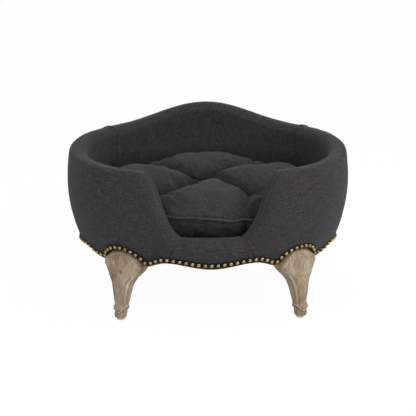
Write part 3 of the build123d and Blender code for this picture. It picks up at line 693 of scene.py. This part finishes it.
# tufted cushion
cushion = dict(
    halfWidth=0.281, halfDepth=0.211, seam=0.243, foot=0.1746, crest=0.316, crestSlope=0.115,
    frontDrop=0.007, frontReach=0.07, rings=58, spokes=224,
    tufts=[(-0.012, 0), (0.114, 0.088), (-0.116, 0.092), (0.097, -0.088), (-0.115, -0.090)],
    outward=[(0.79, 0.61), (-0.79, 0.61), (-0.17, -0.985), (-0.55, -0.83)],
    tuftFloor=0.276, tuftSlope=0.11, tuftWidths=(0.044, 0.031, 0.031, 0.031, 0.031),
    creaseWidth=0.020, creaseDepth=0.032, outerCreaseDepth=0.030, outerCreaseReach=0.10, creaseBow=0.009,
    cap=0.016, holdTuft=0.0045, holdCrease=0.35, wallGap=0.0045,
    paintedShadeStrength=0.72, foldWidth=0.0062, tuftDark=0.90, tuftDarkWidth=0.013, hollowDark=0.92, hollowReach=0.032,
    wallDark=0.60, wallReach=0.05, underShade=(0.28, 0.66), pleatAt=0.080, pleatShadow=0.55, pleatWidth=0.006,
    jambDark=0.60, jambFrom=0.062, jambReach=0.040, jambMiddle=-0.008, jambFront=-0.11,
    seamWave=[(-0.20, 0.002), (-0.10, 0.009), (-0.077, 0.006), (-0.037, 0.0065), (0.014, 0.003), (0.05, -0.003),
              (0.073, 0.002), (0.10, -0.003), (0.20, 0.001)],
)
puff = dict(
    quality=6, mass=0.25, tension_stiffness=18, compression_stiffness=18, shear_stiffness=8, bending_stiffness=0.35,
    use_pressure=True, uniform_pressure_force=4.5, vertex_group_mass="hold", shrink_min=-0.060,
)


def ovalShare(x, y):
    return np.hypot(x / cushion["halfWidth"], y / cushion["halfDepth"])


def seamHeight(x, y):
    places, heights = zip(*cushion["seamWave"])
    wave = float(np.interp(x, places, heights)) * unit(-y / 0.12)
    turn = atan2(y, x)
    return cushion["seam"] + wave + 0.0016 * noise.noise(Vector((3 * cos(turn), 3 * sin(turn), 0)))


def creaseSide(x, y):
    found = []
    cx, cy = cushion["tufts"][0]
    for (tx, ty), (ox, oy) in zip(cushion["tufts"][1:], cushion["outward"]):
        length = hypot(tx - cx, ty - cy)
        ux, uy = (tx - cx) / length, (ty - cy) / length
        run = (x - cx) * ux + (y - cy) * uy
        bow = cushion["creaseBow"] * sin(pi * run / length)  # the folds bow a little between the tufts
        if 0 < run < length:
            found.append((abs((x - cx) * uy - (y - cy) * ux + bow), 1.0))
        outRun = (x - tx) * ox + (y - ty) * oy
        if outRun > 0:
            found.append((abs((x - tx) * oy - (y - ty) * ox), bell(outRun, cushion["outerCreaseReach"])))
    return found


def creaseDepth(x, y):
    depth = 0.0
    for side, fade in creaseSide(x, y):
        deep = cushion["creaseDepth"] if fade == 1.0 else cushion["outerCreaseDepth"]
        depth = max(depth, deep * fade * exp(-side / cushion["creaseWidth"]))
    return depth


def tuftDepth(x, y, crest):
    depth = 0.0
    for k, (tx, ty) in enumerate(cushion["tufts"]):
        away = hypot(x - tx, y - ty)
        pleat = 1 + 0.10 * cos(7 * atan2(y - ty, x - tx) + k) * min(1.0, away / 0.012)
        floor = cushion["tuftFloor"] + cushion["tuftSlope"] * ty
        depth = max(depth, (crest - floor) * exp(-away / cushion["tuftWidths"][k] * pleat))
    return depth


def crownHeight(x, y, seam, rho):
    crest = cushion["crest"] + cushion["crestSlope"] * y - cushion["frontDrop"] * unit(-y / cushion["frontReach"])
    return seam + (crest - seam) * max(0.0, 1 - rho**4.4) ** 0.46


def topHeight(x, y):
    seam, rho = seamHeight(x, y), min(1.0, ovalShare(x, y))
    crest = crownHeight(x, y, seam, rho)
    drop = max(creaseDepth(x, y), tuftDepth(x, y, crest)) if rho < 1 else 0
    return max(crest - drop * min(1, (1 - rho) * 9), seam)


def baseHeight(x, y):
    seam, rho = seamHeight(x, y), min(1.0, ovalShare(x, y))
    return max(seam - (seam - cushion["foot"] + 0.012) * max(0.0, 1 - rho**5.5) ** 0.6, cushion["foot"])


def makeCushion():
    bpy.ops.object.select_all(action="DESELECT")
    bpy.ops.mesh.primitive_uv_sphere_add(segments=cushion["spokes"], ring_count=2 * cushion["rings"], radius=1.0)
    piece = newPiece("tuftedCushion")
    points = readPoints(piece)
    for k, (x, y, z) in enumerate(points):
        polar = acos(max(-1, min(1, abs(z)))) / (pi / 2)
        turn = atan2(y, x)
        rho = 1 - (1 - polar) ** 1.35 if polar < 0.999 else 1.0  # rings draw together towards the seam
        px, py = cushion["halfWidth"] * rho * cos(turn), cushion["halfDepth"] * rho * sin(turn)
        if rho == 1.0:
            points[k] = (px, py, seamHeight(px, py))
        else:
            points[k] = (px, py, topHeight(px, py) if z > 0 else baseHeight(px, py))
    writePoints(piece, points)
    return piece


def puffCushion(piece):
    rest = readPoints(piece)
    x, y, z = rest.T
    hold = piece.vertex_groups.new(name="hold")
    held = (ovalShare(x, y) > 0.995) | (z < cushion["foot"] + 0.0008)
    for tx, ty in cushion["tufts"]:
        held |= (np.hypot(x - tx, y - ty) < cushion["holdTuft"]) & (z > cushion["seam"])
    hold.add(np.where(held)[0].tolist(), 1.0, "REPLACE")
    for k, (x, y, z) in enumerate(rest):
        if z > cushion["seam"] + 0.012:
            nearest = min([side for side, fade in creaseSide(x, y) if fade > 0.4] or [1.0])
            if nearest < 0.004:
                hold.add([k], cushion["holdCrease"], "ADD")
    cloth = piece.modifiers.new("puff", "CLOTH")
    for key, value in puff.items():
        setattr(cloth.settings, key, value)
    cloth.settings.effector_weights.gravity = 0.0
    cloth.collision_settings.use_collision = False
    scene.frame_start, scene.frame_end = 1, 20
    for step in range(1, 21):
        scene.frame_set(step)
    pickOnly(piece)
    bpy.ops.object.modifier_apply(modifier="puff")
    scene.frame_set(1)
    moved = readPoints(piece) - rest
    reach = np.linalg.norm(moved, axis=1)
    print("cushion moved, mean and most in mm:", round(reach.mean() * 1000, 1), round(reach.max() * 1000, 1))
    writePoints(piece, rest + moved * np.minimum(1, cushion["cap"] / np.maximum(reach, 1e-9))[:, None])
    piece.vertex_groups.clear()


def fitCushion(piece):
    points = readPoints(piece)
    for k, (x, y, z) in enumerate(points):
        lean = innerLean(min(z, tub["innerBelly"]))
        wallX = tub["halfWidth"] + lean - cushion["wallGap"]
        wallY = tub["halfDepth"] + lean - cushion["wallGap"]
        rho = max(1, hypot(x / wallX, y / wallY))
        points[k] = (x / rho, y / rho + tub["forward"], max(z, cushion["foot"]))
    writePoints(piece, points)


def flatPattern(piece):
    x, y, z = readPoints(piece).T
    y = y - tub["forward"]
    stretch = 1 + 0.22 * ovalShare(x, y) ** 4
    storeUv(piece, np.stack([x * stretch, y * stretch], axis=1))


def shadeFolds(piece):
    points = readPoints(piece)
    shade = np.zeros(len(points))
    for k, (x, y, z) in enumerate(points):
        y -= tub["forward"]
        seam, rho = seamHeight(x, y), min(1.0, ovalShare(x, y))
        if z > seam + 0.002:
            tones = []
            # painted shade along the creases and in the tufts
            for side, fade in creaseSide(x, y):
                tones.append(cushion["paintedShadeStrength"] * fade**0.4 * bell(side, cushion["foldWidth"]))
            for tx, ty in cushion["tufts"]:
                tones.append(cushion["tuftDark"] * bell(hypot(x - tx, y - ty), cushion["tuftDarkWidth"]))
            # little light reaches the hollows between the lobes and the foot of the tub's wall
            hollow = unit((crownHeight(x, y, seam, rho) - z) / cushion["hollowReach"])
            tones.append(cushion["hollowDark"] * hollow**1.15)
            if y > -0.12 or abs(x) > 0.10:
                tones.append(cushion["wallDark"] * exp(-(1 - rho) / cushion["wallReach"]))
            if y < cushion["jambFront"]:
                # shadow beside the sides of the opening
                beside = unit((abs(x - cushion["jambMiddle"]) - cushion["jambFrom"]) / cushion["jambReach"])
                tones.append(cushion["jambDark"] * beside * min(1.0, (cushion["jambFront"] - y) / 0.03))
            shade[k] = max(tones)
        else:
            # painted shade on the panel below the piping, deeper towards the foot, and a painted shadow of a pleat
            # that is not modelled
            first, last = cushion["underShade"]
            shade[k] = first + (last - first) * unit((seam - z) / (seam - cushion["foot"]))
            if y < 0:
                shade[k] += cushion["pleatShadow"] * bell(x - cushion["pleatAt"], cushion["pleatWidth"])
    storeMark(piece, "paintedShadeAndLight", shade)


cushionPiece = makeCushion()
puffCushion(cushionPiece)
fitCushion(cushionPiece)
applyModifier(cushionPiece, "SUBSURF", "finer", levels=1, render_levels=1)
flatPattern(cushionPiece)
shadeFolds(cushionPiece)
dress(cushionPiece, linen, "cushion")
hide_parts("cushion_top", "cushion_base")

piping = dict(radius=0.0026, out=0.0026, steps=180, sides=14, ringShare=0.2, uvScale=(1.55, 0.0165))
bpy.ops.object.select_all(action="DESELECT")
bpy.ops.mesh.primitive_torus_add(
    major_segments=piping["steps"], minor_segments=piping["sides"], major_radius=1.0,
    minor_radius=piping["ringShare"],
)
pipingPiece = newPiece("cushionPiping")
ring = readPoints(pipingPiece)
for k, (x, y, z) in enumerate(ring):
    turn = atan2(y, x)
    centre = Vector((
        (cushion["halfWidth"] + piping["out"]) * cos(turn),
        (cushion["halfDepth"] + piping["out"]) * sin(turn) + tub["forward"],
        seamHeight(cushion["halfWidth"] * cos(turn), cushion["halfDepth"] * sin(turn)),
    ))
    outward = Vector((cos(turn) / cushion["halfWidth"], sin(turn) / cushion["halfDepth"], 0)).normalized()
    spread = outward * (hypot(x, y) - 1) + Vector((0, 0, z))
    ring[k] = centre + spread * (piping["radius"] / piping["ringShare"])
writePoints(pipingPiece, ring)
for corner in pipingPiece.data.uv_layers.active.data:
    corner.uv = [place * scale for place, scale in zip(corner.uv, piping["uvScale"])]
dress(pipingPiece, linenCord, "cushion")
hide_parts("cushion_piping")
print("cushion made")

# carved legs
leg = dict(
    voxel=0.0016, soften=0.5, width=0.113, start=0.047, bead=0.0019, beadAt=0.0042, beadWidth=0.0018, archBead=0.35,
    groove=0.0012, grooveAt=0.0082, grooveWidth=0.0015, slimFrom=0.030, edgeShade=0.0022,
    footTop=0.056, footHalf=0.0135, curl=0.0024, curlLow=0.027, curlRise=0.017, curlWidth=0.0026,
    underCurl=0.0012, underAt=0.0052, underWidth=0.0020, toe=0.0011, toeWidth=0.0075,
    fullness=0.0024, fullLow=0.044, fullHigh=0.122, lipFrom=0.045, lipTo=0.030, lipTop=0.088,
    scrolls=[(-0.010, 0.036, 0.0085, 0.4, 4.2), (0.009, 0.040, 0.0060, -1.0, 2.6), (0.002, 0.022, 0.0050, 2.0, 5.4)],
    scrollDrop=0.004, scrollWidth=0.0011, scrollDepth=0.0010, wave=0.00070, ripple=0.00025,
    knot=0.0011, knotWidth=0.0028, knotRim=0.0005, knotRimAt=0.0058, knotRimWidth=0.0018,
)
shankShares = [
    (0.0, 0.265), (0.14, 0.285), (0.28, 0.355), (0.42, 0.49), (0.56, 0.75), (0.70, 0.95), (0.85, 1.02), (1.0, 1.02),
]
shankSpan = tub["kneeCentre"] + tub["kneeRadius"] - leg["start"]
shankHeights = [leg["start"] + up * shankSpan for up, wide in shankShares]
shankHalves = [wide * leg["width"] / 2 for up, wide in shankShares]


def legAxis(sideX, sideY):
    return Vector((sideX * legX / railHalfWidth**2, sideY * legY / railHalfDepth**2, 0)).normalized()


def scrollCut(side, z):
    deepest = 0.0
    for across, up, radius, start, end in leg["scrolls"]:
        dx, dz = side - across, z - tub["kneeCentre"] - up + leg["scrollDrop"]
        turn = (atan2(dz, dx) - start) % (2 * pi)
        if turn < end - start:
            taper = sin(pi * turn / (end - start)) ** 0.5
            deepest = max(deepest, taper * bell(hypot(dx, dz) - radius, leg["scrollWidth"]))
    return deepest


def lowerLip(z, bottom):
    # the carved lip sits close above the glide
    if z > leg["lipTop"]:
        return z
    return float(np.interp(z, [bottom, leg["lipFrom"], leg["lipTop"]], [bottom, leg["lipTo"], leg["lipTop"]]))


def carveKnee(side, z, facing):
    half = float(np.interp(z, shankHeights, shankHalves))
    edge = half - abs(side)
    if z > tub["kneeCentre"]:
        edge = tub["kneeRadius"] - hypot(side, z - tub["kneeCentre"])
    slim = min(1.0, half / leg["slimFrom"])  # the bead and groove draw together where the leg is slim
    reach = unit((z - 0.048) / 0.008) * min(1.0, facing * 2.2)
    reach *= 1 - (1 - leg["archBead"]) * unit((z - tub["kneeCentre"]) / 0.02)
    bead, groove = edge - leg["beadAt"] * slim, edge - leg["grooveAt"] * slim
    hollow = bell(groove, leg["grooveWidth"]) * reach
    push = leg["bead"] * slim * bell(bead, leg["beadWidth"]) * reach - leg["groove"] * hollow
    # darker in the groove, partly real stain and partly painted shade, with a band of painted shade along the edges;
    # paler lime on the bead
    stain = max(0.65 * hollow, 0.9 * bell(max(0.0, edge), leg["edgeShade"]) * reach)
    return push, stain - 0.7 * bell(bead, 0.7 * leg["beadWidth"]) * reach


def carveFoot(side, z, seed, stain):
    # a carved lip that curls up at both sides, over four toes
    curl = leg["curlLow"] + leg["curlRise"] * min(1.3, abs(side) / leg["footHalf"]) ** 1.6
    under = bell(z - curl + leg["underAt"], leg["underWidth"])
    toes = (1 - abs(cos(pi * side / leg["toeWidth"] + 0.4 * seed))) ** 2 * unit((curl - z) / 0.004)
    push = leg["curl"] * bell(z - curl, leg["curlWidth"]) - leg["underCurl"] * under - leg["toe"] * toes
    # darker under the curl and between the toes, partly real stain and partly painted shade; paler lime along the curl
    return push, max(stain, under, 0.8 * toes) - 0.7 * bell(z - curl, 0.8 * leg["curlWidth"])


def carveLeg(name, node, sideX, sideY, knotAt, seed):
    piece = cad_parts[node].copy()
    piece.data = piece.data.copy()
    piece.name = name
    scene.collection.objects.link(piece)
    piece.parent = None
    for key in list(piece.keys()):
        del piece[key]
    pickOnly(piece)
    bpy.ops.object.mode_set(mode="EDIT")
    bpy.ops.mesh.select_all(action="SELECT")
    bpy.ops.mesh.remove_doubles(threshold=0.00002)
    bpy.ops.object.mode_set(mode="OBJECT")
    applyModifier(piece, "REMESH", "even", mode="VOXEL", voxel_size=leg["voxel"])
    applyModifier(piece, "SMOOTH", "soften", factor=leg["soften"], iterations=4)
    outward = legAxis(sideX, sideY)
    across = Vector((outward.y, -outward.x, 0))
    origin = Vector((sideX * legX, sideY * legY + tub["forward"], 0))
    points, normals = readPoints(piece), readPoints(piece, "normal")
    if knotAt is not None:
        knotAt = tuple(points[np.argmin(np.linalg.norm(points - np.array(knotAt), axis=1))])
    carved = np.zeros(len(points))
    for k in range(len(points)):
        point, normal = Vector(points[k]), Vector(normals[k])
        side, z, facing = (point - origin).dot(across), point.z, max(0.0, normal.dot(outward))
        push = 0.0
        if z > leg["start"] - 0.002:
            push, carved[k] = carveKnee(side, z, facing)
        if z < leg["footTop"]:
            footPush, carved[k] = carveFoot(side, z, seed, carved[k])
            push += footPush
        rise = (z - leg["fullLow"]) / (leg["fullHigh"] - leg["fullLow"])
        if 0 < rise < 1:
            push += leg["fullness"] * min(1.0, 5 * rise, 2.2 * (1 - rise))
        if facing > 0.3 and z > tub["kneeCentre"]:
            cut = scrollCut(side, z)
            push -= leg["scrollDepth"] * cut
            # darker in the scroll cuts, partly real stain and partly painted shade
            carved[k] = max(carved[k], 0.7 * cut)
        push += leg["wave"] * noise.noise(point * 42 + Vector((seed, 0, 0)))
        push += leg["ripple"] * noise.noise(Vector((point.x * 260, point.y * 260, point.z * 60)))
        if knotAt is not None:
            away = (point - Vector(knotAt)).length
            push -= leg["knot"] * bell(away, leg["knotWidth"])
            push += leg["knotRim"] * bell(away - leg["knotRimAt"], leg["knotRimWidth"])
        points[k] = point + normal * push
    bottom = points[:, 2].min()
    points[:, 2] = [lowerLip(z, bottom) for z in points[:, 2]]
    writePoints(piece, points)
    storeMark(piece, "carved", carved)
    dress(piece, oakMaterial(name + "Oak", "Z", seed, knotAt), "bed")
    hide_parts(node)


carveLeg("frontLeftLeg", "leg_front_left", -1, -1, (-0.2126, -0.2166, 0.1185), 1.3)
carveLeg("frontRightLeg", "leg_front_right", 1, -1, None, 4.1)
carveLeg("rearLeftLeg", "leg_rear_left", -1, 1, None, 7.7)
carveLeg("rearRightLeg", "leg_rear_right", 1, 1, (0.205, 0.2, 0.112), 9.2)
print("legs carved")

# floor of the tub and the black undercloth
deck = dict(
    halfWidth=0.2884, halfDepth=0.2184, block=0.0250, blockDepth=0.0455, insets=(0.02, *(0.09,) * 6),
    deckLift=0.0001, deckThickness=0.0013, underThickness=0.0007, underSag=-0.0025, areaShare=0.80,
)


def roundBlocks(x, y):
    for sideX, sideY in ((-1, -1), (-1, 1), (1, -1), (1, 1)):
        outward = legAxis(sideX, sideY)
        local = Vector((x - sideX * legX, y - sideY * legY, 0))
        side, out = local.cross(outward).z, local.dot(outward)
        if abs(side) < deck["block"] and out > -deck["blockDepth"]:
            back = -deck["blockDepth"] - out
            return x + back * outward.x, y + back * outward.y
    return x, y


def makeDisc(name, low, thickness, node, material, wave, cutBlocks=False):
    bpy.ops.object.select_all(action="DESELECT")
    bpy.ops.mesh.primitive_circle_add(vertices=160, radius=1.0, fill_type="NGON")
    piece = newPiece(name)
    bpy.ops.object.mode_set(mode="EDIT")
    bpy.ops.mesh.select_all(action="SELECT")
    for inset in deck["insets"]:
        bpy.ops.mesh.inset(thickness=inset)
    bpy.ops.mesh.poke()
    bpy.ops.object.mode_set(mode="OBJECT")
    points = readPoints(piece)
    for k, (x, y, z) in enumerate(points):
        away = hypot(x, y)
        sag = wave * (1 - away**2) + 0.25 * wave * cos(18 * atan2(y, x)) * away**3
        px, py = deck["halfWidth"] * x, deck["halfDepth"] * y
        if cutBlocks:
            px, py = roundBlocks(px, py)
        points[k] = (px, py + tub["forward"], low + sag)
    writePoints(piece, points)
    applyModifier(piece, "SOLIDIFY", "clothThickness", thickness=thickness, offset=1.0)
    dress(piece, material, "bed", 40)
    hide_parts(node)


makeDisc(
    "deckCloth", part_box("base_board")[1].z + deck["deckLift"], deck["deckThickness"], "deck_cloth", deckLinen,
    0.0,
)
makeDisc(
    "underCloth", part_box("dust_cover")[0].z, deck["underThickness"], "dust_cover", felt,
    deck["underSag"], True,
)

# finishes of the pieces that CAD already shapes
finishes = {
    "front_rail": oakMaterial("frontRailOak", "X", 11.0), "rear_rail": oakMaterial("rearRailOak", "X", 13.0),
    "left_rail": oakMaterial("leftRailOak", "Y", 17.0), "right_rail": oakMaterial("rightRailOak", "Y", 19.0),
    "dust_cover_staples": zinc, "glide_nails": zinc, "screws": zinc, "rail_dowels": beech,
    "cushion_core": fibre, "tuft_ties": thread, "pad": foam, "ledger": ply, "post": ply, "board": ply, "glide": nylon,
}
for node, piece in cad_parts.items():
    found = [material for word, material in finishes.items() if word in node]
    if found:
        piece.data.materials.clear()
        piece.data.materials.append(found[0])
print("finishes set")

# floor, light and camera
studio = dict(
    azimuth=-2.0, elevation=15.0, distance=2.5, aim=(0.0, -0.0088, 0.2169), focal=85.46,
    floorTone=0.82, floorGlow=0.97, worldTone=0.80, worldStrength=0.70,
)
bpy.ops.object.select_all(action="DESELECT")
bpy.ops.mesh.primitive_plane_add(size=30)
floor = newPiece("paleFloor")
material, surface = newMaterial("paleFloorFinish")
setSockets(surface.inputs, {
    "Base Color": (studio["floorTone"],) * 3 + (1,), "Roughness": 0.9, "Specular IOR Level": 0.1,
})
# the camera sees white, and the bed still gets its soft shadow
share = multiply(addNode("LightPath")["Is Camera Ray"], studio["floorGlow"])
glow = addNode("Emission", {"Color": (1, 1, 1, 1), "Strength": 1.0})[0]
blend = addNode("MixShader", {0: share, 1: surface.outputs[0], 2: glow})[0]
setSockets(shader["tree"].nodes["Material Output"].inputs, {"Surface": blend})
floor.data.materials.append(material)

world = bpy.data.worlds.new("studio")
scene.world = world
world.use_nodes = True
shader["tree"] = world.node_tree
world.node_tree.nodes.clear()
seen = addNode("LightPath")["Is Camera Ray"]
tone = (studio["worldTone"],) * 3 + (1,)
soft = addNode("Background", {"Color": tone, "Strength": studio["worldStrength"]})[0]
white = addNode("Background", {"Color": (1, 1, 1, 1), "Strength": 1.0})[0]
addNode("OutputWorld", {0: addNode("MixShader", {0: seen, 1: soft, 2: white})[0]})

lamps = {
    "keyLamp": ((1.6, -1.3, 1.5), 20.0, 1.2),
    "fillLamp": ((-1.2, -1.6, 1.5), 4.0, 1.3),
    "frontLamp": ((0.0, -2.3, 1.15), 9.0, 1.0),
    "topLamp": ((0.1, -0.3, 2.3), 8.0, 1.4),
    "backLamp": ((0.3, 1.8, 1.3), 4.0, 1.2),
}
for name, (spot, power, size) in lamps.items():
    bpy.ops.object.light_add(type="AREA", location=spot)
    lamp = newPiece(name)
    lamp.data.energy = power
    lamp.data.size = size
    lamp.rotation_euler = (Vector((0, 0, 0.22)) - Vector(spot)).to_track_quat("-Z", "Y").to_euler()

turn, rise = radians(studio["azimuth"]), radians(studio["elevation"])
aim = Vector(studio["aim"])
bpy.ops.object.camera_add(
    location=aim + studio["distance"] * Vector((sin(turn) * cos(rise), -cos(turn) * cos(rise), sin(rise)))
)
camera = newPiece("photoCamera")
camera.data.sensor_width = 36.0
camera.data.lens = studio["focal"]
camera.rotation_euler = (aim - camera.location).to_track_quat("-Z", "Y").to_euler()
scene.camera = camera
scene.view_settings.view_transform = "Standard"
print("studio set")
